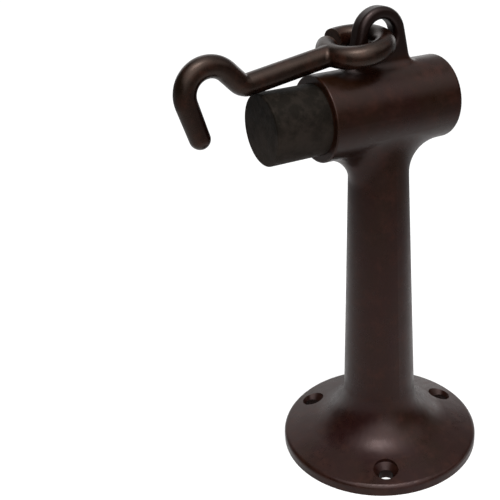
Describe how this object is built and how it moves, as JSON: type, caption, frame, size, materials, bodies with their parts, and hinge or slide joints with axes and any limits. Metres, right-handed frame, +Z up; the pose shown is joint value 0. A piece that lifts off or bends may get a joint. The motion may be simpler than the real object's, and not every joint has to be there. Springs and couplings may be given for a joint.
{
  "type": "floor door bumper",
  "caption": "Floor-mounted door bumper: a flared post on a round screw-down flange, with a rubber plug in its horizontal barrel and a swinging hook linked to an eye on top.",
  "frame": {"origin": "centre of the flange's underside, on the floor", "axes": "+Z up along the column; the barrel lies along Y with the rubber's striking face towards -Y; X is across"},
  "size_m": [0.0636, 0.0914, 0.1395],
  "materials": {
    "post": "dark oil-rubbed bronze, satin",
    "rubber_bumper": "matte black",
    "hook": "dark oil-rubbed bronze, satin"
  },
  "bodies": {
    "stand": {"post": "post", "rubber_bumper": "rubber_bumper"},
    "hook": {"hook": "hook"}
  },
  "joints": [
    {"name": "hook_swing", "type": "hinge", "parent": "stand", "child": "hook", "pos_m": [0, 0.00041, 0.13106], "axis": [-1, 0, 0], "range_deg": [0, 200]}
  ]
}
